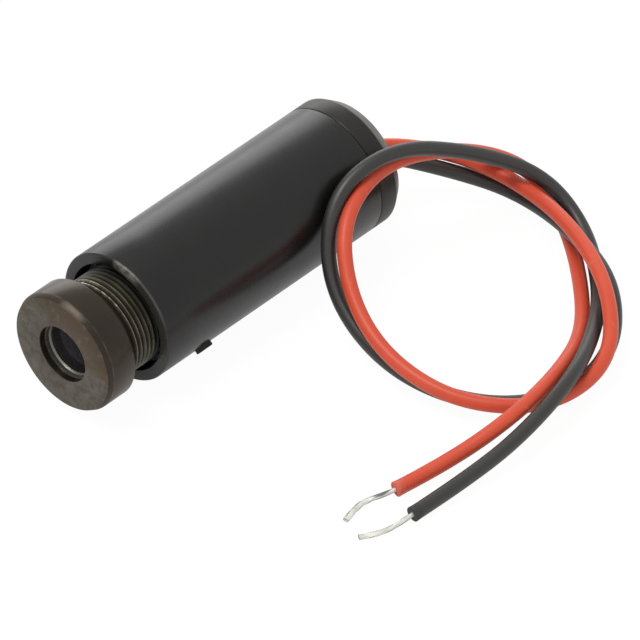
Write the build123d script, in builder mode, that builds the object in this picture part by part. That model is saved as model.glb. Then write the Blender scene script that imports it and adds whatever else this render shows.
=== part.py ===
from build123d import *
import math
import os

# A round laser diode module that lies on its side, in millimetres.
# Y runs along the optical axis from the lens to the lead exit, so the beam leaves along -Y.
# The origin is on the floor under the middle of the module's length, and Z is up.

# Outside sizes
housing_diameter = 12.0
housing_length = 25.8
head_step = 0.5
head_length = 3.1
thread_gap = 3.3
cap_length = 2.8
cap_chamfer_length = 1.0
cap_chamfer_depth = 0.7
edge_break = 0.15
seam_break = 0.07

# Focusing thread and the bores of the housing, as shares of the housing where they follow it
thread_diameter = housing_diameter * 3 / 4
thread_length = housing_length * 0.45
thread_clearance = 0.05
counterbore_diameter = housing_diameter * 5 / 6
counterbore_depth = 1.8
rear_wall = 0.8

# Focus barrel and its lens
barrel_wall = thread_diameter / 10
head_chamfer_length = 0.5
head_chamfer_depth = 0.23
lens_diameter = housing_diameter / 2
lens_clearance = 0.05
lens_edge = 1.6
lens_crown = 0.45
lens_rim = 0.75
aperture_rim = 0.38
aperture_lip = 0.6
aperture_step = 0.12
aperture_depth = 1.2
retainer_length = 0.9
retainer_wall = 0.7
retainer_slot = 0.6
pocket_spare = 0.3

# Lock screw
screw_diameter = 1.6
screw_clearance = 0.05
screw_setback = 5.35
screw_angle = -38.0
screw_proud = 0.35
screw_tip_gap = 0.12
screw_chamfer = 0.2
slot_width = 0.32
slot_depth = 0.5
slot_turn = 33.0

# Spring behind the barrel
washer_thickness = 0.4
spring_wire = 0.45
spring_turns = 3.5
spring_seat_gap = 0.05

# Brass plug that holds the laser diode
press_clearance = 0.02
plug_length = 3.0
nose_length = thread_length * 0.7
nose_clearance = 0.4
nose_wall = 0.35
diode_clearance = 0.05

# Laser diode
diode_base_thickness = 1.2
can_length = 2.6
can_wall = 0.2
can_flange = 0.3
window_thickness = 0.25
window_clearance = 0.03
post_width = 1.4
post_height = 0.6
post_length = 1.5
chip_width = 0.3
chip_length = 0.9
chip_height = 0.15
pin_diameter = 0.45
solder_gap = 0.02

# Driver board and what is soldered on it
board_side_gap = 1.0
board_front_gap = 0.3
board_back_gap = 0.5
board_thickness = 0.6
part_gap = 0.4
side_margin = 1.3
chip_case = (2.9, 1.6, 1.0)
transistor_case = (1.3, 2.8, 1.0)
capacitor_case = (1.4, 2.8, 1.4)
resistor_case = (0.8, 1.6, 0.45)
leg_count = 3
leg_pitch = 0.95
leg_size = (0.4, 0.6, 0.2)

# Rear cap, seal and leads
spigot_length = 1.6
seal_diameter = 4.0
seal_length = 2.5
lead_diameter = 1.3
lead_spacing = 1.8
lead_clearance = 0.03
lead_straight = 1.5
conductor_diameter = 0.5
tip_straight = 0.9
floor_gap = 0.02
bend_share = 0.45

# Places along the axis, radii and heights, worked out from the sizes above
housing_radius = housing_diameter / 2
axis_height = housing_radius
head_radius = housing_radius - head_step
overall_length = head_length + thread_gap + housing_length + cap_length
head_front = -overall_length / 2
head_back = head_front + head_length
housing_front = head_back + thread_gap
housing_back = housing_front + housing_length
cap_back = housing_back + cap_length
thread_radius = thread_diameter / 2
thread_bore = thread_radius + thread_clearance
counterbore_back = housing_front + counterbore_depth
shoulder = counterbore_back + thread_length
rear_bore = housing_radius - rear_wall
barrel_back = counterbore_back + thread_length / 2
barrel_bore = thread_radius - barrel_wall
lens_radius = lens_diameter / 2
lens_seat = head_front + aperture_depth
lens_back = lens_seat + lens_edge
retainer_back = lens_back + retainer_length
pocket_radius = lens_radius + lens_clearance
aperture_radius = lens_radius - aperture_rim
nose_front = shoulder - nose_length
nose_radius = barrel_bore - nose_clearance
recess_radius = nose_radius - nose_wall
diode_radius = recess_radius - diode_clearance
can_radius = diode_radius * 9 / 14
can_opening = can_radius * 4 / 9
pin_bore = diode_radius * 19 / 28
pin_side = pin_bore * 12 / 19
plug_back = shoulder + plug_length
plug_radius = rear_bore - press_clearance
base_back = nose_front + diode_base_thickness
can_front = nose_front - can_length
pin_radius = pin_diameter / 2
conductor_radius = conductor_diameter / 2
spigot_front = housing_back - spigot_length
board_top = axis_height - conductor_radius
board_bottom = board_top - board_thickness
board_front = plug_back + board_front_gap
board_back = spigot_front - board_back_gap
board_length = board_back - board_front
board_width = 2 * (rear_bore - board_side_gap)
pin_overlap = board_length * 2 / 7
pad_overlap = board_length / 5
parts_front = board_front + pin_overlap + part_gap
side_offset = board_width / 2 - side_margin
lower_pin_height = board_bottom - pin_radius - solder_gap
seal_front = cap_back - seal_length
lead_radius = lead_diameter / 2
lie = lead_radius + floor_gap
tip_lie = conductor_radius + floor_gap
lead_side = lead_spacing / 2


def beside(out, back, height):
    """Point of a lead, out from the housing's side and back from the cap's end."""
    return (housing_radius + out, cap_back + back, height)


# Lead routes as they lie: out of the seal, once round against the housing's side, then forward on the floor
red_route = [
    (-lead_side, seal_front, axis_height),
    (-lead_side, cap_back + lead_straight, axis_height),
    beside(-2.6, 7.8, axis_height - 1.5),
    beside(4.0, 9.5, 3.2),
    beside(11.8, 7.8, 4.0),
    beside(19.6, 4.0, 3.8),
    beside(24.9, -1.7, 2.1),
    beside(24.1, -8.6, 1.1),
    beside(18.5, -13.5, 1.6),
    beside(11.3, -14.4, 2.7),
    beside(5.1, -12.4, axis_height - 1.3),
    beside(0.5, -8.3, axis_height + 2.2),
    beside(-0.4, -2.0, axis_height + 3.9),
    beside(0.9, 5.8, axis_height + 1.4),
    beside(3.3, 11.6, 3.9),
    beside(7.1, 11.5, lie),
    beside(12.9, 7.3, lie),
    beside(18.8, 1.5, lie),
    beside(22.6, -5.3, 2.9),
    beside(23.9, -12.4, 3.0),
    beside(22.5, -18.9, 1.2),
    beside(21.1, -24.1, lie),
]
black_route = [
    (lead_side, seal_front, axis_height),
    (lead_side, cap_back + lead_straight, axis_height),
    beside(-1.4, 7.0, 2.8),
    beside(3.3, 10.0, 1.6),
    beside(10.7, 8.8, 2.4),
    beside(18.7, 5.9, 2.7),
    beside(23.3, 0.4, 0.9),
    beside(23.3, -6.9, lie),
    beside(18.0, -12.3, lie),
    beside(9.7, -13.7, 1.0),
    beside(2.4, -12.7, axis_height - 1.4),
    beside(-0.6, -8.8, axis_height + 4.0),
    beside(0.2, -1.9, axis_height + 5.6),
    beside(2.5, 5.5, axis_height + 2.3),
    beside(5.8, 10.9, 4.4),
    beside(10.8, 10.8, 1.4),
    beside(16.5, 6.3, lie),
    beside(21.4, 0.1, 2.4),
    beside(24.8, -6.5, 3.6),
    beside(25.4, -13.7, 2.1),
    beside(24.9, -20.5, 1.0),
    beside(24.3, -25.4, lie),
]
# Bare ends past the insulation: where each one comes down to the floor and where it stops
red_tip = [beside(20.2, -26.7, tip_lie), beside(20.5, -29.3, tip_lie)]
black_tip = [beside(23.8, -27.9, tip_lie), beside(22.7, -30.1, tip_lie)]

optical_axis = Axis((0, 0, axis_height), (0, 1, 0))
# Half sections of turned pieces: local X is the place along Y, local Y is the radius
section = Plane((0, 0, axis_height), x_dir=(0, 1, 0), z_dir=(1, 0, 0))


def across(place):
    """Plane across the axis that faces the lens, with local X to the side and local Y up."""
    return Plane((0, place, axis_height), x_dir=(1, 0, 0), z_dir=(0, -1, 0))


def bend_radii(points):
    """Largest even radius at each corner of a route, from its turn and the shorter run beside it."""
    corners = [Vector(*point) for point in points]
    runs = [corners[i + 1] - corners[i] for i in range(len(corners) - 1)]
    radii = []
    for before, after in zip(runs, runs[1:]):
        turn = math.radians(before.get_angle(after))
        radii.append(bend_share * min(before.length, after.length) / math.tan(turn / 2))
    return radii


def tip_route(route, tip):
    """Route of a bare end: straight on from the insulation, then down onto the floor."""
    end = Vector(*route[-1])
    onward = (end - Vector(*route[-2])).normalized()
    return [tuple(end), tuple(end + onward * tip_straight)] + tip


def save(piece, name):
    """Label a finished piece and write it to its own file."""
    piece.part.label = name
    export_step(piece.part, f"parts/{name}.step")


os.makedirs("parts", exist_ok=True)

# Housing: one turned tube, counterbored at the mouth, threaded behind it and bored out at the rear
screw_place = housing_front + screw_setback
screw_out = Vector(math.cos(math.radians(screw_angle)), 0, math.sin(math.radians(screw_angle)))
screw_plane = Plane(
    Vector(0, screw_place, axis_height) + screw_out * housing_radius, x_dir=(0, 1, 0), z_dir=screw_out
)
with BuildPart() as housing_tube:
    with BuildSketch(section):
        with BuildLine():
            Polyline(
                (housing_front, counterbore_diameter / 2),
                (housing_front, housing_radius),
                (housing_back, housing_radius),
                (housing_back, rear_bore),
                (shoulder, rear_bore),
                (shoulder, thread_bore),
                (counterbore_back, thread_bore),
                (counterbore_back, counterbore_diameter / 2),
                close=True,
            )
        make_face()
    revolve(axis=optical_axis)
    outer_edges = housing_tube.edges().filter_by(GeomType.CIRCLE).group_by(SortBy.RADIUS)[-1].sort_by(Axis.Y)
    chamfer(outer_edges[0], edge_break)
    chamfer(outer_edges[-1], seam_break)
    with BuildSketch(screw_plane.offset(screw_proud)):
        Circle(screw_diameter / 2 + screw_clearance)
    extrude(amount=-(screw_proud + housing_radius - thread_bore / 2), mode=Mode.SUBTRACT)
save(housing_tube, "housing_tube")

# Rear cap: a flush disc with a spigot that presses into the housing and a hole for the seal
with BuildPart() as rear_cap:
    with BuildSketch(section):
        with BuildLine():
            Polyline(
                (spigot_front, seal_diameter / 2),
                (spigot_front, plug_radius),
                (housing_back, plug_radius),
                (housing_back, housing_radius - seam_break),
                (housing_back + seam_break, housing_radius),
                (cap_back - cap_chamfer_length, housing_radius),
                (cap_back, housing_radius - cap_chamfer_depth),
                (cap_back, seal_diameter / 2),
                close=True,
            )
        make_face()
    revolve(axis=optical_axis)
save(rear_cap, "rear_cap")

# Seal: a resin plug cast round the two leads in the cap's hole
with BuildPart() as wire_seal:
    with BuildSketch(across(seal_front)):
        Circle(seal_diameter / 2 - press_clearance)
        with GridLocations(lead_spacing, 0, 2, 1):
            Circle(lead_radius + lead_clearance, mode=Mode.SUBTRACT)
    extrude(amount=-seal_length)
save(wire_seal, "wire_seal")

# Lock screw: a slotted grub screw that stands a little proud and stops short of the barrel's thread
screw_length = screw_proud + housing_radius - thread_radius - screw_tip_gap
with BuildPart() as lock_screw:
    with BuildSketch(screw_plane.offset(screw_proud)):
        Circle(screw_diameter / 2)
    extrude(amount=-screw_length)
    tip_edge = lock_screw.edges().filter_by(GeomType.CIRCLE).sort_by(Axis(screw_plane.origin, screw_out))[0]
    chamfer(tip_edge, screw_chamfer)
    with BuildSketch(screw_plane.offset(screw_proud)):
        Rectangle(slot_width, screw_diameter * 2, rotation=slot_turn)
    extrude(amount=-slot_depth, mode=Mode.SUBTRACT)
save(lock_screw, "lock_screw")

# Focus barrel: knob and threaded shank in one turning, with the lens pocket bored from behind
with BuildPart() as focus_barrel:
    with BuildSketch(section):
        with BuildLine():
            Polyline(
                (head_front, aperture_radius),
                (head_front, head_radius - head_chamfer_depth),
                (head_front + head_chamfer_length, head_radius),
                (head_back - edge_break, head_radius),
                (head_back, head_radius - edge_break),
                (head_back, thread_radius),
                (barrel_back - edge_break, thread_radius),
                (barrel_back, thread_radius - edge_break),
                (barrel_back, barrel_bore),
                (retainer_back + pocket_spare, barrel_bore),
                (retainer_back + pocket_spare, pocket_radius),
                (lens_seat, pocket_radius),
                (lens_seat, aperture_radius - aperture_step),
                (head_front + aperture_lip, aperture_radius - aperture_step),
                (head_front + aperture_lip, aperture_radius),
                close=True,
            )
        make_face()
    revolve(axis=optical_axis)
save(focus_barrel, "focus_barrel")

# Collimating lens: a crowned front inside the aperture and a flat rim against the seat
crown_radius = lens_radius - lens_rim
with BuildPart() as collimating_lens:
    with BuildSketch(section):
        with BuildLine():
            ThreePointArc(
                (lens_seat - lens_crown, 0),
                (lens_seat - lens_crown * 0.75, crown_radius / 2),
                (lens_seat, crown_radius),
            )
            Polyline(
                (lens_seat, crown_radius),
                (lens_seat, lens_radius),
                (lens_back, lens_radius),
                (lens_back, 0),
                (lens_seat - lens_crown, 0),
            )
        make_face()
    revolve(axis=optical_axis)
save(collimating_lens, "collimating_lens")

# Lens retainer: a ring with two spanner slots, behind the lens
with BuildPart() as lens_retainer:
    with BuildSketch(across(lens_back)):
        Circle(pocket_radius - press_clearance)
        Circle(lens_radius - retainer_wall, mode=Mode.SUBTRACT)
    extrude(amount=-retainer_length)
    with BuildSketch(across(retainer_back)):
        Rectangle(lens_diameter * 2, retainer_slot)
    extrude(amount=retainer_length / 2, mode=Mode.SUBTRACT)
save(lens_retainer, "lens_retainer")

# Thrust washer: slides with the barrel but doesn't turn with it
with BuildPart() as thrust_washer:
    with BuildSketch(across(barrel_back)):
        Circle(thread_radius - thread_clearance)
        Circle(barrel_bore, mode=Mode.SUBTRACT)
    extrude(amount=-washer_thickness)
save(thrust_washer, "thrust_washer")

# Focus spring: takes up the thread's play between the washer and the diode plug; its wire has eight sides
spring_radius = (barrel_bore + thread_radius) / 2
spring_start = barrel_back + washer_thickness + spring_seat_gap + spring_wire / 2
spring_height = shoulder - spring_seat_gap - spring_wire / 2 - spring_start
with BuildPart() as focus_spring:
    with BuildLine():
        coil = Helix(
            pitch=spring_height / spring_turns,
            height=spring_height,
            radius=spring_radius,
            center=(0, spring_start, axis_height),
            direction=(0, 1, 0),
        )
    with BuildSketch(Plane(coil @ 0, z_dir=coil % 0)):
        RegularPolygon(spring_wire / 2, 8)
    sweep(is_frenet=True)
save(focus_spring, "focus_spring")

# Diode mount: a brass plug pressed against the housing's shoulder, with a nose that reaches into the barrel
with BuildPart() as diode_mount:
    with BuildSketch(section):
        with BuildLine():
            Polyline(
                (nose_front, recess_radius),
                (nose_front, nose_radius),
                (shoulder, nose_radius),
                (shoulder, plug_radius),
                (plug_back, plug_radius),
                (plug_back, pin_bore),
                (base_back, pin_bore),
                (base_back, recess_radius),
                close=True,
            )
        make_face()
    revolve(axis=optical_axis)
save(diode_mount, "diode_mount")

# Laser diode: base with its heat-sink post, chip, can, window and pins
post_top = axis_height - chip_height
with BuildPart() as diode_base:
    with BuildSketch(across(nose_front)):
        Circle(diode_radius)
    extrude(amount=-diode_base_thickness)
    with BuildSketch(Plane.XY.offset(post_top)):
        with Locations((0, nose_front - post_length / 2)):
            Rectangle(post_width, post_length)
    extrude(amount=-post_height)
save(diode_base, "diode_base")

with BuildPart() as laser_chip:
    with BuildSketch(Plane.XY.offset(post_top)):
        with Locations((0, nose_front - post_length + chip_length / 2)):
            Rectangle(chip_width, chip_length)
    extrude(amount=chip_height)
save(laser_chip, "laser_chip")

with BuildPart() as diode_can:
    with BuildSketch(section):
        with BuildLine():
            Polyline(
                (can_front, can_opening),
                (can_front, can_radius),
                (nose_front - can_wall, can_radius),
                (nose_front - can_wall, can_radius + can_flange),
                (nose_front, can_radius + can_flange),
                (nose_front, can_radius - can_wall),
                (can_front + can_wall, can_radius - can_wall),
                (can_front + can_wall, can_opening),
                close=True,
            )
        make_face()
    revolve(axis=optical_axis)
save(diode_can, "diode_can")

with BuildPart() as diode_window:
    with BuildSketch(across(can_front + can_wall)):
        Circle(can_radius - can_wall - window_clearance)
    extrude(amount=-window_thickness)
save(diode_window, "diode_window")

pin_length = board_front + pin_overlap - base_back
with BuildPart() as diode_pins:
    with BuildSketch(across(base_back)):
        with Locations((-pin_side, 0), (pin_side, 0), (0, lower_pin_height - axis_height)):
            Circle(pin_radius)
    extrude(amount=-pin_length)
save(diode_pins, "diode_pins")

# Driver board, held by the diode's pins, with its parts on both faces
with BuildPart() as driver_board:
    with BuildSketch(Plane.XY.offset(board_bottom)):
        with Locations((0, board_front + board_length / 2)):
            Rectangle(board_width, board_length)
    extrude(amount=board_thickness)
save(driver_board, "driver_board")


def leg_places(case, place):
    """Centres of the two rows of legs beside a small moulded case."""
    reach = case[1] / 2 + leg_size[1] / 2
    steps = [(i - (leg_count - 1) / 2) * leg_pitch for i in range(leg_count)]
    return [(step, place + side * reach) for side in (-1, 1) for step in steps]


chip_place = parts_front + leg_size[1] + chip_case[1] / 2
with BuildPart() as driver_chip:
    with BuildSketch(Plane.XY.offset(board_bottom)):
        with Locations((0, chip_place)):
            Rectangle(chip_case[0], chip_case[1])
    extrude(amount=-chip_case[2])
    with BuildSketch(Plane.XY.offset(board_bottom)):
        with Locations(*leg_places(chip_case, chip_place)):
            Rectangle(leg_size[0], leg_size[1])
    extrude(amount=-leg_size[2])
save(driver_chip, "driver_chip")

with BuildPart() as transistor:
    with BuildSketch(Plane.XY.offset(board_top)):
        with Locations((-side_offset, parts_front + transistor_case[1] / 2)):
            Rectangle(transistor_case[0], transistor_case[1])
    extrude(amount=transistor_case[2])
save(transistor, "transistor")

with BuildPart() as capacitor:
    with BuildSketch(Plane.XY.offset(board_top)):
        with Locations((side_offset, parts_front + capacitor_case[1] / 2)):
            Rectangle(capacitor_case[0], capacitor_case[1])
    extrude(amount=capacitor_case[2])
save(capacitor, "capacitor")

with BuildPart() as resistors:
    with BuildSketch(Plane.XY.offset(board_bottom)):
        with Locations((0, parts_front + resistor_case[1] / 2)):
            with GridLocations(2 * side_offset, 0, 2, 1):
                Rectangle(resistor_case[0], resistor_case[1])
    extrude(amount=-resistor_case[2])
save(resistors, "resistors")

# Leads: insulation from the seal to the bare end, and the conductor where it shows
for name, route, tip in (("red", red_route, red_tip), ("black", black_route, black_tip)):
    radii = bend_radii(route)
    print(f"{name} lead radii:", [round(radius, 1) for radius in radii])
    with BuildPart() as lead:
        with BuildLine() as lead_path:
            FilletPolyline(*route, radius=radii)
        with BuildSketch(across(seal_front)):
            with Locations((route[0][0], 0)):
                Circle(lead_radius)
        sweep(path=lead_path.wire())
    lead_length = lead_path.wire().length
    share = lead.part.volume / (math.pi * lead_radius**2 * lead_length)
    print(f"{name} lead length {lead_length:.1f}, volume over section times length {share:.4f}")
    save(lead, f"{name}_lead")

    with BuildPart() as soldered_end:
        with BuildSketch(across(seal_front)):
            with Locations((route[0][0], 0)):
                Circle(conductor_radius)
        extrude(amount=seal_front - board_back + pad_overlap)
    save(soldered_end, f"{name}_soldered_end")

    bare_route = tip_route(route, tip)
    with BuildPart() as tinned_end:
        with BuildLine() as tip_path:
            FilletPolyline(*bare_route, radius=bend_radii(bare_route))
        with BuildSketch(Plane(tip_path.wire() @ 0, z_dir=tip_path.wire() % 0)):
            Circle(conductor_radius)
        sweep(path=tip_path.wire())
    print(f"{name} bare end length {tip_path.wire().length:.1f}")
    save(tinned_end, f"{name}_tinned_end")
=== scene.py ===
import math

import bmesh
import bpy
from mathutils import Matrix, Vector


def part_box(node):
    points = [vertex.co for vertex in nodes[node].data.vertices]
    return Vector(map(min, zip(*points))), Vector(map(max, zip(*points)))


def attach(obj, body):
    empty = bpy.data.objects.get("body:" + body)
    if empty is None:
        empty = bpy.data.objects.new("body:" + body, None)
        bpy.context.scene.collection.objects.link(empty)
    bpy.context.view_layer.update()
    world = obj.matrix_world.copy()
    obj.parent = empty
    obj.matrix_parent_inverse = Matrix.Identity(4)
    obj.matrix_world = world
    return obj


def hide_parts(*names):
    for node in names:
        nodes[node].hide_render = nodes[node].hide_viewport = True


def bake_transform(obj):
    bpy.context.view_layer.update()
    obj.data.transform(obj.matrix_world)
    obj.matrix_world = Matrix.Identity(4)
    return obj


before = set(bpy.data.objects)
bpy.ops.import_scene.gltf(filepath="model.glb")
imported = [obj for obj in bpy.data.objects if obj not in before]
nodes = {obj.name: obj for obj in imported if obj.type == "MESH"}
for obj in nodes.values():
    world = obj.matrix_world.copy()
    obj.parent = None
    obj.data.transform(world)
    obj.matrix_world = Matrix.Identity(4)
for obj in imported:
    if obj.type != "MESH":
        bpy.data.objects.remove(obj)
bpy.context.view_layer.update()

# Sizes in millimetres: the ends of the solids come from model.glb, and the rest is as in the part's source
MM = 0.001


def ends(node):
    """Front and back of a solid along the optical axis, in millimetres."""
    low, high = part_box(node)
    return low.y / MM, high.y / MM


HEAD_FRONT, BARREL_BACK = ends("focus_barrel")
HOUSING_FRONT, HOUSING_BACK = ends("housing_tube")
SPIGOT_FRONT, CAP_BACK = ends("rear_cap")
LENS_BACK = ends("collimating_lens")[1]
SCREW_PLACE = sum(ends("lock_screw")) / 2
AXIS_HEIGHT = 6.0
AXIS_POINT = Vector((0, 0, AXIS_HEIGHT * MM))
OPTICAL_AXIS = (0, 1, 0)

HOUSING_RADIUS = 6.0
COUNTERBORE_RADIUS = 5.0
COUNTERBORE_BACK = HOUSING_FRONT + 1.8
THREAD_BORE = 4.55
SHOULDER = COUNTERBORE_BACK + 11.61
REAR_BORE = 5.2
SEAM_BREAK = 0.07
SPIGOT_RADIUS = 5.18
CAP_HOLE = 2.0
CAP_CHAMFER_LENGTH = 1.0
CAP_CHAMFER_DEPTH = 0.7

HEAD_BACK = HEAD_FRONT + 3.1
HEAD_RADIUS = 5.5
HEAD_CHAMFER_LENGTH = 0.5
HEAD_CHAMFER_DEPTH = 0.23
HEAD_BACK_BREAK = 0.15
OPENING_RADIUS = 2.62
BORE_STEP = HEAD_FRONT + 0.6
STEP_RADIUS = 2.5
LENS_SEAT = HEAD_FRONT + 1.2
LENS_RADIUS = 3.0
LENS_POCKET = 3.05
POCKET_BACK = LENS_BACK + 1.2
BARREL_BORE = 3.6

SCREW_ANGLE = -38.0
SCREW_RADIUS = 0.8
SCREW_HOLE = 0.85
SCREW_TOP = HOUSING_RADIUS + 0.35
SCREW_TIP = 4.62
SLOT_SIZE = (0.32, 4.0, 1.0)
SLOT_TURN = -57.0

SPRING_RADIUS = 4.05
SPRING_WIRE = 0.45
SPRING_TURNS = 3.5
LEAD_RADIUS = 0.65
LEAD_SIDE = 0.9
FLOOR_GAP = 0.02

# Sizes in millimetres of the forms that only the scene has
FRONT_ROUND_LENGTH = 0.14
FRONT_ROUND_DEPTH = 0.12
FRONT_ROUND_BULGE = 0.04
CUT_MARGIN = 1.3
RING_FRONT = LENS_SEAT - 0.22
RING_RADIUS = 2.38
CROWN_REACH = 2.25
CROWN_RISE = 0.2
LENS_BEVEL = 0.1
THREAD_CREST = 4.48
THREAD_ROOT = 4.2
THREAD_PITCH = 0.5
THREAD_START = HEAD_BACK + 0.86
THREAD_END = BARREL_BACK - 0.3
HALF_RIDGE = [(0.2, THREAD_ROOT - 0.05), (0.17, THREAD_ROOT + 0.03), (0.045, THREAD_CREST)]
BARE_RADIUS = 0.26
COLLAR_LENGTH = 0.9
CORE_RADIUS = 0.205
STRAND_RADIUS = 0.085
STRAND_REACH = 0.135
STRAND_LAY = 9.0
STRAND_COUNT = 6

# Fineness of the round shapes, and the sharpest edge that is shaded smooth
TURNED_STEPS = 192
LENS_STEPS = 96
CROWN_STEPS = 14
THREAD_STEPS = 96
COIL_STEPS = 64
COLLAR_STEPS = 48
ROD_SIDES = 64
WIRE_SIDES = 12
SMOOTH_ANGLE = math.radians(38)

# Where the finishes vary: angles about the axis from +X towards +Z of wear, brown tone, painted highlights,
# painted light and painted shade, and the place in metres of the painted shade on the twisted red end
HIGHLIGHT_ANGLE = 78.0
BROWN_ANGLE = 62.0
LINE_ANGLE = 52.0
THREAD_GLINT_ANGLE = 92.0
FACE_LIGHT_ANGLE = 20.0
SHADED_ANGLE = 85.0
LIT_SIDE_ANGLE = 60.0
TWIST_SHADE_PLACE = (0.0267, -0.0077, 0.00074)
TWIST_SHADE_TURN = math.radians(-22)


def tone(red, green, blue):
    """A colour as a picture shows it, from 0 to 255, in the renderer's linear values."""
    out = []
    for value in (red, green, blue):
        value /= 255
        out.append(value / 12.92 if value <= 0.04045 else ((value + 0.055) / 1.055) ** 2.4)
    return (*out, 1.0)


class Value:
    """A shader socket that plain arithmetic works on: each operator adds its Math node."""

    def __init__(self, finish, socket):
        self.finish = finish
        self.socket = socket

    def combine(self, operation, first, second):
        return self.finish.node("ShaderNodeMath", {"operation": operation}, {0: first, 1: second})

    def __add__(self, other):
        return self.combine("ADD", self, other)

    def __radd__(self, other):
        return self.combine("ADD", other, self)

    def __sub__(self, other):
        return self.combine("SUBTRACT", self, other)

    def __rsub__(self, other):
        return self.combine("SUBTRACT", other, self)

    def __mul__(self, other):
        return self.combine("MULTIPLY", self, other)

    def __rmul__(self, other):
        return self.combine("MULTIPLY", other, self)

    def __pow__(self, other):
        return self.combine("POWER", self, other)


class Finish:
    """A surface finish: one Principled shader and the nodes that vary it over the piece."""

    def __init__(self, name, **constants):
        self.material = bpy.data.materials.new(name)
        self.material.use_nodes = True
        self.tree = self.material.node_tree
        self.shader = self.tree.nodes["Principled BSDF"]
        for socket, value in constants.items():
            self.shader.inputs[socket.replace("_", " ")].default_value = value
        self.place = self.node("ShaderNodeTexCoord", out="Object")

    def node(self, kind, settings=None, sockets=None, out=0):
        """Add a node: its settings first, then the values or links of its sockets."""
        made = self.tree.nodes.new(kind)
        for name, value in (settings or {}).items():
            setattr(made, name, value)
        for name, value in (sockets or {}).items():
            if isinstance(value, Value):
                self.tree.links.new(value.socket, made.inputs[name])
            else:
                made.inputs[name].default_value = value
        return Value(self, made.outputs[out])

    def feed(self, **sockets):
        """Link what varies to the shader's own sockets."""
        for name, value in sockets.items():
            self.tree.links.new(value.socket, self.shader.inputs[name.replace("_", " ")])
        return self.material

    def stretched(self, scale=(1.0, 1.0, 1.0), centre=(0, 0, 0), turn=(0, 0, 0)):
        """The piece's own coordinates, moved, turned and stretched for a pattern."""
        moved = self.place
        if any(centre) or any(turn):
            sockets = {"Vector": self.place, "Location": centre, "Rotation": turn}
            moved = self.node("ShaderNodeMapping", {"vector_type": "TEXTURE"}, sockets)
        return self.node("ShaderNodeMapping", {}, {"Vector": moved, "Scale": scale})

    def noise(self, scale, detail=3.0, rough=0.55, vector=None):
        """Cloudy noise from 0 to 1, with its scale in repeats for each metre."""
        sockets = {"Vector": vector or self.place, "Scale": scale, "Detail": detail, "Roughness": rough}
        return self.node("ShaderNodeTexNoise", {}, sockets)

    def turning_marks(self):
        """Noise in fine rings about the optical axis, as a lathe leaves them."""
        return self.noise(1.0, 3.0, 0.6, self.stretched((60.0, 9000.0, 60.0)))

    def span(self, value, start, end):
        """0 where value is at start, 1 where it is at end, smooth between."""
        settings = {"interpolation_type": "SMOOTHSTEP"}
        sockets = {"Value": value, "From Min": min(start, end), "From Max": max(start, end)}
        rising = self.node("ShaderNodeMapRange", settings, sockets)
        return rising if end > start else 1.0 - rising

    def band(self, value, low, high, soft):
        """1 where value lies between low and high, fading over soft at both ends."""
        return self.span(value, low - soft, low) * self.span(value, high + soft, high)

    def blend(self, amount, first, second):
        """One colour into another."""
        sockets = {"Factor": amount, 6: first, 7: second}
        return self.node("ShaderNodeMix", {"data_type": "RGBA"}, sockets, out=2)

    def parts(self, vector):
        """The three parts of a vector."""
        return [self.node("ShaderNodeSeparateXYZ", {}, {"Vector": vector}, letter) for letter in "XYZ"]

    def from_axis(self):
        """Place beside, along and above the optical axis, in millimetres."""
        x, y, z = (part * (1.0 / MM) for part in self.parts(self.place))
        return x, y, z - AXIS_HEIGHT

    def along_and_out(self):
        """Place along the optical axis and distance from it, both in millimetres."""
        x, along, z = self.from_axis()
        return along, (x * x + z * z) ** 0.5

    def facing(self, degrees, out):
        """1 on the side of the axis at this angle from +X towards +Z, -1 on the opposite side."""
        turn = math.radians(degrees)
        x, _, z = self.from_axis()
        return (x * math.cos(turn) + z * math.sin(turn)) * out ** -1.0

    def side(self, degrees, out, faint, full):
        """1 round this angle about the axis, fading to 0 where facing falls from full to faint."""
        return self.span(self.facing(degrees, out), faint, full)

    def bump(self, height, strength, depth=0.01):
        """Raise the surface by height times depth, in millimetres."""
        sockets = {"Height": height, "Strength": strength, "Distance": depth * MM}
        return self.node("ShaderNodeBump", {}, sockets, "Normal")


# Camera at the photograph's angle and distance
camera_data = bpy.data.cameras.new("photo_camera")
camera_data.sensor_width = 36.0
camera_data.lens = 551.6
camera = bpy.data.objects.new("photo_camera", camera_data)
camera.location = (0.43288, -0.44786, 0.53302)
camera.rotation_euler = Vector((-0.51935, 0.55350, -0.65109)).to_track_quat("-Z", "Y").to_euler()
bpy.context.scene.collection.objects.link(camera)
bpy.context.scene.camera = camera
bpy.context.scene.view_settings.view_transform = "Standard"


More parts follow.
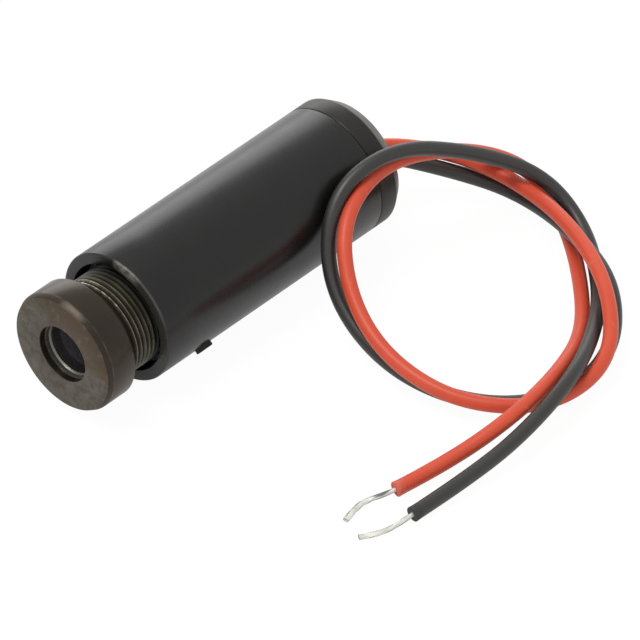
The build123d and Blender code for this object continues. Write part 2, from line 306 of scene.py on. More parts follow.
# Finish of each material
def anodised_finish():
    """Satin black anodising: turning marks, painted light on one side of the front face, a rim worn pale with
    a painted highlight, painted shade inside the counterbore and specks at the rear seam.
    """
    made = Finish("black_anodising", IOR=1.45)
    along, out = made.along_and_out()
    cloud = made.noise(420.0, 4.0)
    fine = made.noise(5200.0, 2.0)
    rings = made.turning_marks()
    color = made.blend(cloud, tone(11, 11, 11), tone(19, 19, 18))
    color = made.blend(fine * 0.3, color, tone(30, 30, 28))
    # Painted light: the front face is painted paler on the side where the head's shade falls on it
    front_face = made.span(along, HOUSING_FRONT + 0.06, HOUSING_FRONT + 0.02)
    front_face = front_face * made.span(out, COUNTERBORE_RADIUS + 0.02, COUNTERBORE_RADIUS + 0.1)
    painted_face_light = made.side(FACE_LIGHT_ANGLE, out, 0.35, 0.8)
    color = made.blend(front_face * painted_face_light, color, tone(56, 55, 49))
    # Pale smear on the rim: wear, and a painted highlight on the side where the top lamp catches the rounded
    # edge
    rim = made.span(along, HOUSING_FRONT + 0.28, HOUSING_FRONT + 0.08)
    rim = rim * made.span(out, COUNTERBORE_RADIUS + 0.1, COUNTERBORE_RADIUS + 0.4)
    smear = 0.45 + 0.55 * made.span(made.noise(1900.0, 4.0), 0.4, 0.6)
    rim_wear_and_highlight = rim * made.side(HIGHLIGHT_ANGLE, out, 0.955, 0.997) * smear
    color = made.blend(rim_wear_and_highlight, color, tone(126, 123, 113))
    thin_line = made.band(along, HOUSING_FRONT + 0.05, HOUSING_FRONT + 0.16, 0.06)
    thin_line = thin_line * made.span(out, HOUSING_RADIUS - 0.2, HOUSING_RADIUS - 0.1)
    thin_line = thin_line * made.side(LINE_ANGLE, out, 0.8, 0.98)
    color = made.blend(thin_line * 0.5, color, tone(92, 90, 84))
    seam = made.band(along, HOUSING_BACK - 0.12, HOUSING_BACK + 0.02, 0.06)
    seam_wear = seam * made.span(made.noise(1500.0, 2.0), 0.55, 0.72)
    color = made.blend(seam_wear * 0.7, color, tone(122, 84, 60))
    # Painted shade: the wall of the counterbore just inside its opening is painted near black
    painted_mouth_shade = made.span(out, COUNTERBORE_RADIUS + 0.25, COUNTERBORE_RADIUS)
    painted_mouth_shade = painted_mouth_shade * made.span(along, HOUSING_FRONT + 0.05, HOUSING_FRONT + 0.5)
    color = made.blend(painted_mouth_shade, color, tone(9, 9, 9))
    rough = 0.2 + cloud * 0.1 + rings * 0.06 + rim_wear_and_highlight * 0.1
    normal = made.bump(rings * 0.7 + fine * 0.3, 0.06)
    return made.feed(Base_Color=color, Roughness=rough, Normal=normal)


def cap_finish():
    """Warmer black on the rear cap, worn pale along its chamfer."""
    made = Finish("cap_black", IOR=1.43)
    along, out = made.along_and_out()
    cloud = made.noise(520.0, 4.0)
    fine = made.noise(5600.0, 2.0)
    rings = made.turning_marks()
    color = made.blend(cloud, tone(21, 20, 17), tone(33, 31, 27))
    color = made.blend(fine * 0.35, color, tone(42, 40, 35))
    chamfer_front = CAP_BACK - CAP_CHAMFER_LENGTH
    chamfer = made.band(along, chamfer_front - 0.04, CAP_BACK - 0.02, 0.05)
    chamfer = chamfer * made.span(out, HOUSING_RADIUS - 0.8, HOUSING_RADIUS - 0.6)
    chamfer_wear = chamfer * (0.7 + 0.3 * made.span(made.noise(700.0, 3.0), 0.3, 0.7))
    color = made.blend(chamfer_wear * 0.85, color, tone(118, 116, 109))
    edge = made.band(along, chamfer_front - 0.1, chamfer_front + 0.05, 0.04)
    edge_wear = edge * made.span(made.noise(1300.0), 0.45, 0.7)
    color = made.blend(edge_wear * 0.5, color, tone(118, 112, 100))
    rough = 0.34 + cloud * 0.1 + chamfer * 0.06
    normal = made.bump(rings * 0.7 + fine * 0.3, 0.06)
    return made.feed(Base_Color=color, Roughness=rough, Normal=normal)


def head_face(made, out, cloud):
    """Colour of the head's front face: grey, brown on one side, with dark blotches and pale spots."""
    grey = made.blend(cloud, tone(74, 69, 64), tone(90, 84, 79))
    brown = made.blend(cloud, tone(54, 38, 14), tone(70, 51, 22))
    patch = made.noise(260.0, 4.0, 0.6, made.stretched((1.0, 1.0, 1.2), centre=(0.02, 0.01, 0.03)))
    brown_side = made.facing(BROWN_ANGLE, out) + patch * 1.6
    face = made.blend(made.span(brown_side, 0.9, 1.5), grey, brown)
    blotch = made.span(made.noise(1500.0, 3.0, 0.6), 0.42, 0.62)
    face = made.blend(blotch * 0.55, face, tone(46, 37, 27))
    spots = made.noise(1100.0, 3.0, 0.6, made.stretched(centre=(0.04, 0.0, 0.02)))
    return made.blend(made.span(spots, 0.54, 0.68) * 0.4, face, tone(108, 102, 94))


def blackened_finish():
    """Blackened brass of the head: a mottled face, a dark chamfer with a painted highlight, an olive bore
    with a bright ring.
    """
    made = Finish("blackened_brass", IOR=1.55, Specular_Tint=tone(255, 239, 221))
    along, out = made.along_and_out()
    cloud = made.noise(330.0, 4.0)
    fine = made.noise(4800.0, 2.0)
    color = made.blend(made.span(cloud, 0.35, 0.65), tone(13, 9, 6), tone(28, 20, 14))
    on_face = made.span(along, HEAD_FRONT + 0.12, HEAD_FRONT + 0.03)
    on_face = on_face * made.span(out, STEP_RADIUS, OPENING_RADIUS)
    color = made.blend(on_face, color, head_face(made, out, cloud))
    chamfer = made.band(along, HEAD_FRONT + 0.05, HEAD_FRONT + HEAD_CHAMFER_LENGTH - 0.03, 0.03)
    chamfer = chamfer * made.span(out, HEAD_RADIUS - 0.4, HEAD_RADIUS - 0.28)
    color = made.blend(chamfer * 0.95, color, tone(12, 7, 4))
    # Painted highlight on the chamfer's edge, on the side where the top lamp catches it
    edge = made.band(along, HEAD_FRONT - 0.02, HEAD_FRONT + HEAD_CHAMFER_LENGTH - 0.06, 0.05)
    edge = edge * made.span(out, HEAD_RADIUS - 0.45, HEAD_RADIUS - 0.3)
    smear = 0.6 + 0.4 * made.span(made.noise(700.0, 3.0), 0.35, 0.6)
    painted_chamfer_highlight = edge * made.side(HIGHLIGHT_ANGLE, out, 0.955, 0.997) * smear
    color = made.blend(painted_chamfer_highlight * 0.65, color, tone(108, 97, 86))
    chamfer_back = HEAD_FRONT + HEAD_CHAMFER_LENGTH
    corner = made.band(along, chamfer_back - 0.02, chamfer_back + 0.04, 0.04)
    corner = corner * made.span(out, HEAD_RADIUS - 0.2, HEAD_RADIUS - 0.1)
    corner_wear = corner * made.span(made.noise(900.0, 3.0), 0.35, 0.6)
    color = made.blend(corner_wear * 0.7, color, tone(92, 80, 66))
    lip = made.span(out, OPENING_RADIUS + 0.1, OPENING_RADIUS)
    lip = lip * made.span(along, HEAD_FRONT + 0.04, HEAD_FRONT + 0.1)
    color = made.blend(lip, color, tone(12, 10, 8))
    inner = made.span(out, OPENING_RADIUS - 0.02, STEP_RADIUS + 0.04)
    inner = inner * made.span(along, BORE_STEP - 0.03, BORE_STEP + 0.03)
    color = made.blend(inner, color, tone(82, 82, 74))
    ring = inner * made.span(along, RING_FRONT - 0.03, RING_FRONT + 0.03)
    color = made.blend(ring, color, tone(186, 182, 172))
    color = made.blend(fine * 0.16, color, tone(78, 68, 58))
    rough = 0.2 + cloud * 0.1 + on_face * 0.24 + chamfer * 0.2 + fine * 0.06 + ring * 0.2
    metal = 0.15 + ring * 0.6
    grain = made.noise(1.0, 2.0, 0.6, made.stretched((7000.0, 900.0, 7000.0)))
    normal = made.bump(fine * 0.5 + grain * 0.5, 0.18)
    return made.feed(Base_Color=color, Roughness=rough, Metallic=metal, Normal=normal)


def thread_finish():
    """Thread of the head: grey worn crests, olive-brown grooves, first turns worn shiny with painted glints,
    painted shade where it goes into the housing.
    """
    made = Finish("worn_thread", IOR=1.5)
    along, out = made.along_and_out()
    cloud = made.noise(600.0, 4.0)
    fine = made.noise(5000.0, 2.0)
    glint = made.span(made.noise(2600.0, 3.0), 0.44, 0.64)
    groove = made.blend(cloud, tone(56, 50, 32), tone(86, 76, 50))
    crest = made.blend(made.span(cloud, 0.3, 0.7), tone(102, 100, 90), tone(132, 129, 118))
    high = made.span(out, THREAD_ROOT + 0.1, THREAD_CREST - 0.04)
    color = made.blend(high, groove, crest)
    # The first turns are worn shiny, with painted glints on their upper side
    start = made.span(along, HEAD_BACK + 1.75, HEAD_BACK + 1.35) * high
    bright = start * made.side(THREAD_GLINT_ANGLE, out, 0.55, 0.95) * glint
    color = made.blend(bright, color, tone(214, 209, 198))
    # Painted shade on the turns that go into the housing, darker on the upper side
    deep = made.span(along, HEAD_BACK + 1.9, HEAD_BACK + 3.0)
    painted_thread_shade = deep * (0.15 + 0.45 * made.side(SHADED_ANGLE, out, 0.3, 0.9))
    color = made.blend(painted_thread_shade, color, tone(16, 15, 12))
    # Painted shade, near black, where the thread enters the housing
    inside = made.span(along, HOUSING_FRONT - 0.2, HOUSING_FRONT)
    color = made.blend(inside * 0.95, color, tone(6, 6, 5))
    rough = 0.4 + fine * 0.15 - bright * 0.12
    metal = (0.55 + high * 0.35 - painted_thread_shade * 0.4) * (1.0 - inside * 0.8)
    normal = made.bump(fine, 0.25)
    return made.feed(Base_Color=color, Roughness=rough, Metallic=metal, Normal=normal)


def lens_finish():
    """Lens that looks dark under its faintly purple anti-reflection coating."""
    made = Finish("coated_lens", IOR=1.1, Transmission_Weight=0.75, Specular_Tint=tone(200, 194, 206))
    smear = made.noise(900.0, 3.0)
    color = made.blend(smear, tone(70, 66, 71), tone(86, 81, 86))
    rough = 0.02 + made.span(smear, 0.55, 0.8) * 0.05
    return made.feed(Base_Color=color, Roughness=rough)


def vinyl_finish(name, deep, plain, pale, shine, seed):
    """Satin lead insulation: soft mottling, fine extrusion texture and a few scuffs."""
    made = Finish(name, IOR=1.45, Specular_IOR_Level=shine)
    cloud = made.noise(260.0, 3.0, vector=made.stretched(centre=(seed, 0.0, seed)))
    fine = made.noise(6500.0, 2.0)
    scuff = made.span(made.noise(900.0, 4.0, 0.65), 0.6, 0.76)
    color = made.blend(cloud, deep, plain)
    color = made.blend(scuff * 0.35, color, pale)
    rough = 0.34 + cloud * 0.1 + scuff * 0.12 + fine * 0.05
    normal = made.bump(fine, 0.2)
    return made.feed(Base_Color=color, Roughness=rough, Normal=normal)


def cut_finish(name, skin, inside):
    """Freshly cut end of the insulation: paler where the blade went through."""
    made = Finish(name, IOR=1.45)
    torn = made.noise(2600.0, 2.0)
    color = made.blend(made.span(torn, 0.2, 0.8), skin, inside)
    normal = made.bump(torn, 0.3, depth=0.02)
    return made.feed(Base_Color=color, Roughness=0.5 + torn * 0.2, Normal=normal)


def metal_finish(name, dark, light, rough, grain, metal=1.0):
    """Plain metal with soft clouds, fine grain and small marks."""
    made = Finish(name, Metallic=metal)
    cloud = made.noise(700.0, 4.0)
    fine = made.noise(grain, 2.0)
    color = made.blend(cloud, dark, light)
    marks = made.span(made.noise(2400.0, 3.0), 0.58, 0.75)
    color = made.blend(marks * 0.2, color, dark)
    roughness = rough + cloud * 0.12 + fine * 0.08
    normal = made.bump(fine, 0.2)
    return made.feed(Base_Color=color, Roughness=roughness, Normal=normal)


def tinned_finish():
    """Solder on the bare strands: painted light on one side, painted shade round it, and painted shade where
    the red end was twisted.
    """
    made = Finish("tinned_strands", Metallic=0.45)
    cloud = made.noise(500.0, 3.0)
    fine = made.noise(3000.0, 2.0)
    color = made.blend(made.span(cloud, 0.3, 0.7), tone(216, 214, 202), tone(248, 247, 240))
    # Painted light on the side that faces the lit angle, and painted shade round it
    x, y, z = made.parts(made.node("ShaderNodeTexCoord", out="Normal"))
    turn = math.radians(LIT_SIDE_ANGLE)
    painted_light_side = x * math.cos(turn) + z * math.sin(turn) + y * y
    color = made.blend(made.span(painted_light_side, 0.9, 0.24) * 0.9, color, tone(116, 113, 102))
    # Painted shade where the red end was twisted and turns its edge up
    from_twist_shade = made.stretched((2400.0, 900.0, 2400.0), centre=TWIST_SHADE_PLACE, turn=(0, 0, TWIST_SHADE_TURN))
    reach = made.node("ShaderNodeVectorMath", {"operation": "LENGTH"}, {0: from_twist_shade}, "Value")
    mottle = made.noise(1.0, 0.0, 0.5, made.stretched((900.0, 900.0, 900.0)))
    painted_twist_shade = made.span(reach, 1.1, 0.6) * (0.7 + mottle * 0.3)
    color = made.blend(painted_twist_shade, color, tone(64, 58, 48))
    rough = 0.32 + cloud * 0.12 + fine * 0.06
    normal = made.bump(fine, 0.03)
    return made.feed(Base_Color=color, Roughness=rough, Normal=normal)


def moulded_finish(name, dark, light, rough, clear=0.0):
    """Moulded or coated part: fine texture and slight clouds of colour."""
    made = Finish(name, Coat_Weight=clear)
    cloud = made.noise(900.0, 3.0)
    fine = made.noise(7000.0, 2.0)
    color = made.blend(cloud, dark, light)
    normal = made.bump(fine, 0.25)
    return made.feed(Base_Color=color, Roughness=rough + fine * 0.12, Normal=normal)


def glass_finish(name):
    """Clear window glass with faint smears."""
    made = Finish(name, IOR=1.5, Transmission_Weight=1.0)
    smear = made.noise(1500.0, 3.0)
    color = made.blend(smear, tone(236, 240, 244), tone(248, 250, 252))
    return made.feed(Base_Color=color, Roughness=0.02 + made.span(smear, 0.6, 0.8) * 0.04)


anodising = anodised_finish()
cap_black = cap_finish()
blackened = blackened_finish()
worn_thread = thread_finish()
coated_lens = lens_finish()
red_vinyl = vinyl_finish(
    "red_vinyl", tone(213, 75, 47), tone(226, 89, 60), tone(234, 138, 114), shine=0.5, seed=0.013
)
black_vinyl = vinyl_finish(
    "black_vinyl", tone(40, 39, 37), tone(49, 48, 45), tone(80, 78, 74), shine=0.75, seed=0.041
)
red_cut = cut_finish("red_cut_end", tone(214, 80, 58), tone(228, 118, 98))
black_cut = cut_finish("black_cut_end", tone(44, 44, 43), tone(60, 60, 58))
tinned = tinned_finish()
black_steel = metal_finish(
    "blackened_screw", tone(24, 24, 24), tone(44, 43, 42), rough=0.34, grain=5200.0, metal=0.6
)
spring_steel = metal_finish(
    "bright_wire", tone(150, 150, 152), tone(196, 196, 197), rough=0.22, grain=8000.0
)
plain_brass = metal_finish(
    "turned_brass", tone(178, 140, 74), tone(208, 172, 98), rough=0.25, grain=7000.0
)
gold_plate = metal_finish(
    "gold_plate", tone(204, 160, 78), tone(226, 186, 104), rough=0.2, grain=9000.0
)
nickel = metal_finish(
    "nickel_can", tone(166, 163, 155), tone(200, 197, 188), rough=0.18, grain=9000.0
)
window_glass = glass_finish("window_glass")
die_grey = moulded_finish("polished_die", tone(60, 60, 66), tone(84, 84, 92), rough=0.12)
board_green = moulded_finish("green_resist", tone(14, 74, 38), tone(22, 96, 50), rough=0.35, clear=0.4)
epoxy_black = moulded_finish("moulded_epoxy", tone(24, 24, 25), tone(38, 38, 39), rough=0.5)
tantalum = moulded_finish("tantalum_case", tone(196, 148, 46), tone(214, 170, 62), rough=0.4)
glaze = moulded_finish("glazed_ceramic", tone(30, 30, 33), tone(46, 46, 50), rough=0.22, clear=0.3)
resin = moulded_finish("cast_resin", tone(18, 18, 18), tone(34, 33, 32), rough=0.28, clear=0.2)


# Shaping tools
def close_up(shape):
    """Join what meets and point every face outwards."""
    bmesh.ops.remove_doubles(shape, verts=shape.verts[:], dist=1e-7)
    flat = [face for face in shape.faces if face.calc_area() < 1e-16]
    bmesh.ops.delete(shape, geom=flat, context="FACES")
    bmesh.ops.recalc_face_normals(shape, faces=shape.faces[:])


def soften(shape, width, angle):
    """Round the edges that are sharper than the angle in degrees, over a width in millimetres."""
    sharp = [
        edge for edge in shape.edges
        if len(edge.link_faces) == 2 and edge.calc_face_angle() > math.radians(angle)
    ]
    bmesh.ops.bevel(
        shape, geom=sharp, offset=width * MM, offset_type="OFFSET", segments=2, profile=0.5, affect="EDGES",
        clamp_overlap=True, material=-1,
    )


def revolve(shape, corners, centre, axis, steps):
    """Spin the closed section through these corners right round an axis."""
    sides = [shape.edges.new(pair) for pair in zip(corners, corners[1:] + corners[:1])]
    bmesh.ops.spin(
        shape, geom=corners + sides, cent=centre, axis=axis, angle=math.tau, steps=steps, use_merge=True
    )
    close_up(shape)


def turned(profile):
    """Solid turned about the optical axis from a closed half section of places and radii in millimetres."""
    shape = bmesh.new()
    corners = [shape.verts.new((0, place * MM, (AXIS_HEIGHT + radius) * MM)) for place, radius in profile]
    revolve(shape, corners, AXIS_POINT, OPTICAL_AXIS, TURNED_STEPS)
    soften(shape, width=0.05, angle=25.0)
    return shape


def shade(mesh):
    """Shade a mesh smooth between its sharp edges."""
    mesh.shade_smooth()
    mesh.set_sharp_from_angle(angle=SMOOTH_ANGLE)


def as_mesh(name, shape, finish=None):
    """Mesh object of a finished shape."""
    mesh = bpy.data.meshes.new(name)
    shape.to_mesh(mesh)
    shape.free()
    if finish:
        mesh.materials.append(finish)
    shade(mesh)
    made = bpy.data.objects.new(name, mesh)
    bpy.context.scene.collection.objects.link(made)
    return made


def evaluated_mesh(made):
    """Mesh of an object as its curve or its modifiers shape it."""
    bpy.context.view_layer.update()
    return bpy.data.meshes.new_from_object(made.evaluated_get(bpy.context.evaluated_depsgraph_get()))


def carve(made, tool):
    """Cut one object's shape out of another and drop the tool."""
    cut = made.modifiers.new("cut", "BOOLEAN")
    cut.operation = "DIFFERENCE"
    cut.solver = "EXACT"
    cut.object = tool
    carved = evaluated_mesh(made)
    made.modifiers.remove(cut)
    made.data = carved
    shade(carved)
    bpy.data.objects.remove(tool)


def dress(made, body, slot, *replaced):
    """Fix a piece to its body and hide the solids that it stands for; its slot is not used."""
    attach(made, body)
    if replaced:
        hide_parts(*replaced)


# Leads: the routes of the part's source, with points moved a little to follow the photograph
def metres(points):
    """Points given in millimetres, in metres."""
    return [tuple(value * MM for value in point) for point in points]


LIE = LEAD_RADIUS + FLOOR_GAP
red_route = metres([
    (-LEAD_SIDE, 15.0, 6.0), (-LEAD_SIDE, 19.0, 6.0), (3.6, 25.1, 4.2), (10.0, 27.0, 3.3), (17.8, 25.3, 4.0),
    (25.6, 21.5, 3.8), (30.8, 15.9, 2.1), (30.1, 8.9, 1.3), (24.5, 4.0, 1.6), (17.3, 3.1, 2.7),
    (11.3, 4.9, 5.0), (7.2, 8.4, 8.9), (5.5, 15.4, 9.9), (6.9, 23.3, 7.4), (9.2, 29.0, 3.5),
    (13.1, 29.0, LIE), (19.0, 24.9, LIE), (25.0, 19.1, LIE), (28.8, 12.1, 2.9), (30.0, 5.0, 3.0),
    (28.6, -1.5, 1.2), (27.3, -6.6, LIE),
])
black_route = metres([
    (LEAD_SIDE, 15.0, 6.0), (LEAD_SIDE, 19.0, 6.0), (4.6, 24.5, 2.9), (9.3, 27.5, 1.5), (16.7, 26.3, 2.4),
    (24.6, 23.3, 2.7), (29.3, 17.9, 0.9), (29.5, 10.4, LIE), (24.2, 5.0, LIE), (15.7, 3.8, 1.0),
    (8.5, 5.2, 4.4), (5.45, 9.0, 10.05), (6.2, 15.6, 11.7), (8.5, 23.0, 8.1), (11.8, 28.4, 4.2),
    (16.8, 28.3, 1.2), (22.5, 23.8, LIE), (27.4, 17.6, 2.4), (30.8, 11.0, 3.6), (31.5, 3.7, 2.1),
    (30.9, -3.0, 1.0), (30.4, -7.9, LIE),
])
TIP_LIE = 0.27
red_tip = metres([
    (27.3, -6.6, LIE), (27.0, -7.5, 0.55), (26.3, -8.7, 0.34),
    (26.1, -10.0, TIP_LIE), (26.6, -11.8, TIP_LIE),
])
black_tip = metres([
    (30.4, -7.9, LIE), (30.3, -8.8, 0.56), (30.0, -10.2, 0.32),
    (29.5, -11.5, TIP_LIE), (28.8, -12.6, TIP_LIE),
])


def smooth_line(name, points, radius, finish=None):
    """Curve object of one NURBS spline with the points as its control points."""
    curve = bpy.data.curves.new(name, "CURVE")
    curve.dimensions = "3D"
    curve.resolution_u = 16
    curve.bevel_depth = radius
    curve.bevel_resolution = 8
    curve.use_fill_caps = radius > 0
    spline = curve.splines.new("NURBS")
    spline.points.add(len(points) - 1)
    for control, point in zip(spline.points, points):
        control.co = (*point, 1.0)
    spline.order_u = 3
    spline.use_endpoint_u = True
    if finish:
        curve.materials.append(finish)
    made = bpy.data.objects.new(name, curve)
    bpy.context.scene.collection.objects.link(made)
    return made


def line_points(points):
    """Points along the smooth line of a route."""
    line = smooth_line("line", points, 0.0)
    mesh = evaluated_mesh(line)
    found = [vertex.co.copy() for vertex in mesh.vertices]
    bpy.data.objects.remove(line)
    bpy.data.meshes.remove(mesh)
    return found


def flatness(share):
    """Width of a bare end over its round width: pinched a third of the way along, then spread."""
    pinch = math.exp(-(((share - 0.32) / 0.09) ** 2))
    spread = min(max((share - 0.3) / 0.35, 0.0), 1.0)
    return 1.0 - 0.12 * pinch + 0.32 * spread * spread * (3 - 2 * spread)


def strands(name, points, finish):
    """Tinned strands along a line: laid round a solder core, pinched once, then pressed flat to the end."""
    line = line_points(points)
    travelled = [0.0]
    for before, after in zip(line, line[1:]):
        travelled.append(travelled[-1] + (after - before).length)
    shape = bmesh.new()
    core = (0.0, CORE_RADIUS, 0.0)
    laid = [(STRAND_REACH, STRAND_RADIUS, math.tau * strand / STRAND_COUNT) for strand in range(STRAND_COUNT)]
    for reach, wire, lay_start in [core] + laid:
        last = []
        for step, centre in enumerate(line):
            ahead = (line[min(step + 1, len(line) - 1)] - line[max(step - 1, 0)]).normalized()
            across = ahead.cross(Vector((0, 0, 1))).normalized()
            above = across.cross(ahead).normalized()
            wide = flatness(travelled[step] / travelled[-1])
            turn = lay_start + math.tau * travelled[step] / (STRAND_LAY * MM)
            offset = across * math.cos(turn) * wide + above * math.sin(turn) / wide
            place = Matrix((across * wide, above / wide, ahead)).transposed().to_4x4()
            place.translation = centre + offset * reach * MM
            ring = bmesh.ops.create_circle(shape, segments=WIRE_SIDES, radius=wire * MM, matrix=place)
            edges = list({edge for vertex in ring["verts"] for edge in vertex.link_edges})
            if last:
                bmesh.ops.bridge_loops(shape, edges=last + edges)
            last = edges
    bmesh.ops.holes_fill(shape, edges=shape.edges[:], sides=WIRE_SIDES)
    bmesh.ops.recalc_face_normals(shape, faces=shape.faces[:])
    return as_mesh(name, shape, finish)


def cut_end(name, points, finish):
    """Collar where the insulation was cut: a slightly flared rim round the bare strands."""
    end = Vector(points[-1])
    ahead = (end - Vector(points[-2])).normalized()
    section = [
        (-COLLAR_LENGTH, LEAD_RADIUS * 0.985), (-0.35, LEAD_RADIUS * 1.01), (0.02, LEAD_RADIUS * 1.05),
        (0.05, LEAD_RADIUS * 0.7), (0.0, BARE_RADIUS), (-COLLAR_LENGTH, BARE_RADIUS),
    ]
    shape = bmesh.new()
    corners = [shape.verts.new((out * MM, 0, place * MM)) for place, out in section]
    revolve(shape, corners, (0, 0, 0), (0, 0, 1), COLLAR_STEPS)
    soften(shape, width=0.06, angle=30.0)
    turn = ahead.to_track_quat("Z", "Y").to_matrix().to_4x4()
    bmesh.ops.transform(shape, matrix=Matrix.Translation(end) @ turn, verts=shape.verts[:])
    return as_mesh(name, shape, finish)


for color, route, tip, skin, cut, side in (
    ("red", red_route, red_tip, red_vinyl, red_cut, -LEAD_SIDE),
    ("black", black_route, black_tip, black_vinyl, black_cut, LEAD_SIDE),
):
    lead = smooth_line(f"{color}_insulation", route, LEAD_RADIUS * MM, skin)
    dress(lead, "module", f"{color}_vinyl", f"{color}_lead")
    collar = cut_end(f"{color}_cut_end", route, cut)
    dress(collar, "module", f"{color}_vinyl")
    bare = strands(f"{color}_bare_strands", tip, tinned)
    dress(bare, "module", "tinned_copper", f"{color}_tinned_end")
    side * MM

# Housing with the lock screw's hole, between two rings of edges that keep the cut clean
screw_out = Vector((math.cos(math.radians(SCREW_ANGLE)), 0, math.sin(math.radians(SCREW_ANGLE))))
screw_middle = Vector((0, SCREW_PLACE * MM, AXIS_HEIGHT * MM))
screw_turn = screw_out.to_track_quat("Z", "Y").to_matrix().to_4x4()


def screw_rod(radius, low, high):
    """Round rod across the wall at the lock screw, between two distances from the axis."""
    shape = bmesh.new()
    place = Matrix.Translation(screw_middle + screw_out * (low + high) / 2 * MM) @ screw_turn
    bmesh.ops.create_cone(
        shape, cap_ends=True, segments=ROD_SIDES, radius1=radius * MM, radius2=radius * MM,
        depth=(high - low) * MM, matrix=place,
    )
    return shape


screw_front = SCREW_PLACE - CUT_MARGIN
screw_back = SCREW_PLACE + CUT_MARGIN
housing = as_mesh(
    "turned_housing",
    turned([
        (HOUSING_FRONT, COUNTERBORE_RADIUS), (HOUSING_FRONT, HOUSING_RADIUS - FRONT_ROUND_DEPTH),
        (HOUSING_FRONT + FRONT_ROUND_BULGE, HOUSING_RADIUS - FRONT_ROUND_BULGE),
        (HOUSING_FRONT + FRONT_ROUND_LENGTH, HOUSING_RADIUS),
        (screw_front, HOUSING_RADIUS), (screw_back, HOUSING_RADIUS),
        (HOUSING_BACK - SEAM_BREAK, HOUSING_RADIUS), (HOUSING_BACK, HOUSING_RADIUS - SEAM_BREAK),
        (HOUSING_BACK, REAR_BORE), (SHOULDER, REAR_BORE), (SHOULDER, THREAD_BORE),
        (screw_back, THREAD_BORE), (screw_front, THREAD_BORE),
        (COUNTERBORE_BACK, THREAD_BORE), (COUNTERBORE_BACK, COUNTERBORE_RADIUS),
    ]),
    anodising,
)
carve(housing, as_mesh("drill", screw_rod(SCREW_HOLE, THREAD_BORE - 0.55, HOUSING_RADIUS + 1.0)))
dress(housing, "module", "black_anodise", "housing_tube")

# Lock screw with its slot along the line that the photograph looks along
screw_shape = screw_rod(SCREW_RADIUS, SCREW_TIP, SCREW_TOP)
soften(screw_shape, width=0.09, angle=40.0)
screw = as_mesh("slotted_screw", screw_shape, black_steel)
slot_tool = bmesh.new()
slot_place = Matrix.Translation(screw_middle + screw_out * SCREW_TOP * MM) @ screw_turn
slot_place = slot_place @ Matrix.Rotation(math.radians(SLOT_TURN), 4, "Z")
bmesh.ops.create_cube(slot_tool, size=1.0)
bmesh.ops.scale(slot_tool, vec=[length * MM for length in SLOT_SIZE], verts=slot_tool.verts[:])
bmesh.ops.transform(slot_tool, matrix=slot_place, verts=slot_tool.verts[:])
carve(screw, as_mesh("slot_saw", slot_tool))
dress(screw, "module", "black_steel", "lock_screw")

# Rear cap
cap = as_mesh(
    "turned_cap",
    turned([
        (SPIGOT_FRONT, CAP_HOLE), (SPIGOT_FRONT, SPIGOT_RADIUS), (HOUSING_BACK, SPIGOT_RADIUS),
        (HOUSING_BACK, HOUSING_RADIUS - SEAM_BREAK), (HOUSING_BACK + SEAM_BREAK, HOUSING_RADIUS),
        (CAP_BACK - CAP_CHAMFER_LENGTH, HOUSING_RADIUS), (CAP_BACK, HOUSING_RADIUS - CAP_CHAMFER_DEPTH),
        (CAP_BACK, CAP_HOLE),
    ]),
    cap_black,
)
dress(cap, "module", "cap_black", "rear_cap")

# Focusing head with its bores
head = as_mesh(
    "focusing_head",
    turned([
        (HEAD_FRONT, OPENING_RADIUS), (HEAD_FRONT, HEAD_RADIUS - HEAD_CHAMFER_DEPTH),
        (HEAD_FRONT + HEAD_CHAMFER_LENGTH, HEAD_RADIUS), (HEAD_BACK - HEAD_BACK_BREAK, HEAD_RADIUS),
        (HEAD_BACK, HEAD_RADIUS - HEAD_BACK_BREAK), (HEAD_BACK, THREAD_ROOT), (BARREL_BACK, THREAD_ROOT),
        (BARREL_BACK, BARREL_BORE), (POCKET_BACK, BARREL_BORE), (POCKET_BACK, LENS_POCKET),
        (LENS_SEAT, LENS_POCKET), (LENS_SEAT, RING_RADIUS), (RING_FRONT, STEP_RADIUS),
        (BORE_STEP, STEP_RADIUS), (BORE_STEP, OPENING_RADIUS),
    ]),
    blackened,
)
dress(head, "focus_head", "blackened_brass", "focus_barrel")

# Thread on the head's shank: it starts on the underside, behind a plain groove
ridge = bmesh.new()
ridge_section = [(-place, out) for place, out in HALF_RIDGE] + HALF_RIDGE[::-1]
corners = [
    ridge.verts.new((0, (THREAD_START + place) * MM, (AXIS_HEIGHT - out) * MM))
    for place, out in ridge_section
]
ridge_face = ridge.faces.new(corners)
turns = (THREAD_END - THREAD_START) / THREAD_PITCH
bmesh.ops.spin(
    ridge, geom=[ridge_face] + ridge_face.edges[:] + corners, cent=AXIS_POINT, axis=OPTICAL_AXIS,
    dvec=(0, THREAD_PITCH / THREAD_STEPS * MM, 0), angle=math.tau * turns, steps=round(turns * THREAD_STEPS),
    use_merge=False,
)
close_up(ridge)
thread = as_mesh("focusing_thread", ridge, worn_thread)
dress(thread, "focus_head", "blackened_brass")

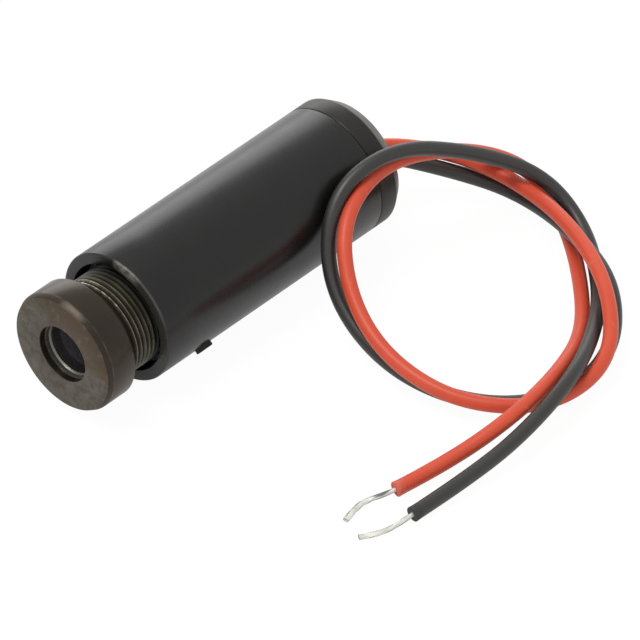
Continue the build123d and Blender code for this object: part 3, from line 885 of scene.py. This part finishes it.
# Lens with a crowned front and a bevelled rim
lens_shape = bmesh.new()
crown_radius = (CROWN_REACH**2 + CROWN_RISE**2) / (2 * CROWN_RISE)
crown_front = LENS_SEAT - CROWN_RISE
crown_centre = Vector((0, (crown_front + crown_radius) * MM, AXIS_HEIGHT * MM))
top = lens_shape.verts.new((0, crown_front * MM, AXIS_HEIGHT * MM))
bmesh.ops.spin(
    lens_shape, geom=[top], cent=crown_centre, axis=(-1, 0, 0), angle=math.asin(CROWN_REACH / crown_radius),
    steps=CROWN_STEPS,
)
outline = [max(lens_shape.verts, key=lambda vertex: vertex.co.z)]
for place, out in (
    (LENS_SEAT, LENS_RADIUS - LENS_BEVEL), (LENS_SEAT + LENS_BEVEL, LENS_RADIUS), (LENS_BACK, LENS_RADIUS),
    (LENS_BACK, 0.0),
):
    outline.append(lens_shape.verts.new((0, place * MM, (AXIS_HEIGHT + out) * MM)))
for pair in zip(outline, outline[1:]):
    lens_shape.edges.new(pair)
bmesh.ops.spin(
    lens_shape, geom=lens_shape.verts[:] + lens_shape.edges[:], cent=AXIS_POINT, axis=OPTICAL_AXIS,
    angle=math.tau, steps=LENS_STEPS, use_merge=True,
)
close_up(lens_shape)
lens = as_mesh("crowned_lens", lens_shape, coated_lens)
dress(lens, "focus_head", "lens_plastic", "collimating_lens")

# Focus spring, coiled over the length of the part's spring between the diode's mount and the thrust washer
spring_front, spring_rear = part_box("focus_spring")
wire_radius = SPRING_WIRE / 2 * MM
coil_steps = round(SPRING_TURNS * COIL_STEPS)
coil_rise = (spring_rear.y - spring_front.y - 2 * wire_radius) / coil_steps
coil_start = Vector((0, spring_front.y + wire_radius, (AXIS_HEIGHT + SPRING_RADIUS) * MM))
coil = bmesh.new()
bmesh.ops.create_circle(
    coil, cap_ends=True, segments=WIRE_SIDES, radius=wire_radius,
    matrix=Matrix.Translation(coil_start) @ Matrix.Rotation(math.pi / 2, 4, "Y"),
)
bmesh.ops.spin(
    coil, geom=coil.faces[:] + coil.edges[:] + coil.verts[:], cent=AXIS_POINT, axis=OPTICAL_AXIS,
    dvec=(0, coil_rise, 0), angle=math.tau * SPRING_TURNS, steps=coil_steps, use_merge=False,
)
close_up(coil)
spring = as_mesh("coil_spring", coil, spring_steel)
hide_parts("focus_spring")
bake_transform(spring)

# Finishes of the solids that are shown as they are
for name, finish in (
    ("wire_seal", resin), ("lens_retainer", blackened), ("thrust_washer", spring_steel),
    ("diode_mount", plain_brass), ("diode_base", gold_plate), ("diode_can", nickel),
    ("diode_window", window_glass), ("laser_chip", die_grey), ("diode_pins", gold_plate),
    ("driver_board", board_green), ("driver_chip", epoxy_black), ("transistor", epoxy_black),
    ("capacitor", tantalum), ("resistors", glaze),
    ("red_soldered_end", tinned), ("black_soldered_end", tinned),
):
    nodes[name].data.materials.clear()
    nodes[name].data.materials.append(finish)


# White floor that keeps a faint shadow, white surroundings and two soft lamps
def by_ray(tree, plain, more):
    """A value that differs by the kind of ray: plain, with more for each kind that is named."""
    path = tree.nodes.new("ShaderNodeLightPath")
    total = None
    for kind, amount in more.items():
        join = tree.nodes.new("ShaderNodeMath")
        join.operation = "MULTIPLY_ADD"
        tree.links.new(path.outputs[kind], join.inputs[0])
        join.inputs[1].default_value = amount
        if total:
            tree.links.new(total, join.inputs[2])
        else:
            join.inputs[2].default_value = plain
        total = join.outputs[0]
    return total


floor_shape = bmesh.new()
bmesh.ops.create_grid(floor_shape, x_segments=1, y_segments=1, size=2.0)
floor_finish = bpy.data.materials.new("pale_floor")
floor_finish.use_nodes = True
floor_tree = floor_finish.node_tree
paper = floor_tree.nodes["Principled BSDF"]
paper.inputs["Base Color"].default_value = (0.86, 0.86, 0.86, 1)
paper.inputs["Roughness"].default_value = 0.9
paper.inputs["Specular IOR Level"].default_value = 0.0
glow = floor_tree.nodes.new("ShaderNodeEmission")
glow.inputs["Strength"].default_value = 1.03
white_share = by_ray(
    floor_tree, 0.0, {"Is Camera Ray": 0.93, "Is Transmission Ray": 0.93, "Is Glossy Ray": 0.5}
)
both = floor_tree.nodes.new("ShaderNodeMixShader")
floor_tree.links.new(white_share, both.inputs[0])
floor_tree.links.new(paper.outputs[0], both.inputs[1])
floor_tree.links.new(glow.outputs[0], both.inputs[2])
floor_tree.links.new(both.outputs[0], floor_tree.nodes["Material Output"].inputs["Surface"])
floor = as_mesh("pale_floor", floor_shape, floor_finish)

world = bpy.data.worlds.new("white_surroundings")
world.use_nodes = True
bpy.context.scene.world = world
sky = world.node_tree.nodes["Background"]
sky.inputs["Color"].default_value = (1, 1, 1, 1)
sky_level = by_ray(
    world.node_tree, 0.64, {"Is Camera Ray": 0.36, "Is Transmission Ray": 0.36, "Is Glossy Ray": 0.1}
)
world.node_tree.links.new(sky_level, sky.inputs["Strength"])


def soft_lamp(name, shape, width, height, power, place):
    """Area lamp that faces the module."""
    data = bpy.data.lights.new(name, "AREA")
    data.shape = shape
    data.size = width
    data.size_y = height
    data.energy = power
    lamp = bpy.data.objects.new(name, data)
    lamp.location = place
    lamp.rotation_euler = (AXIS_POINT - lamp.location).to_track_quat("-Z", "Y").to_euler()
    bpy.context.scene.collection.objects.link(lamp)


soft_lamp("top_lamp", "ELLIPSE", width=0.3, height=0.3, power=2.2, place=(-0.12, -0.18, 0.72))
soft_lamp("back_lamp", "RECTANGLE", width=0.75, height=0.43, power=1.65, place=(-0.62, 0.45, 0.215))
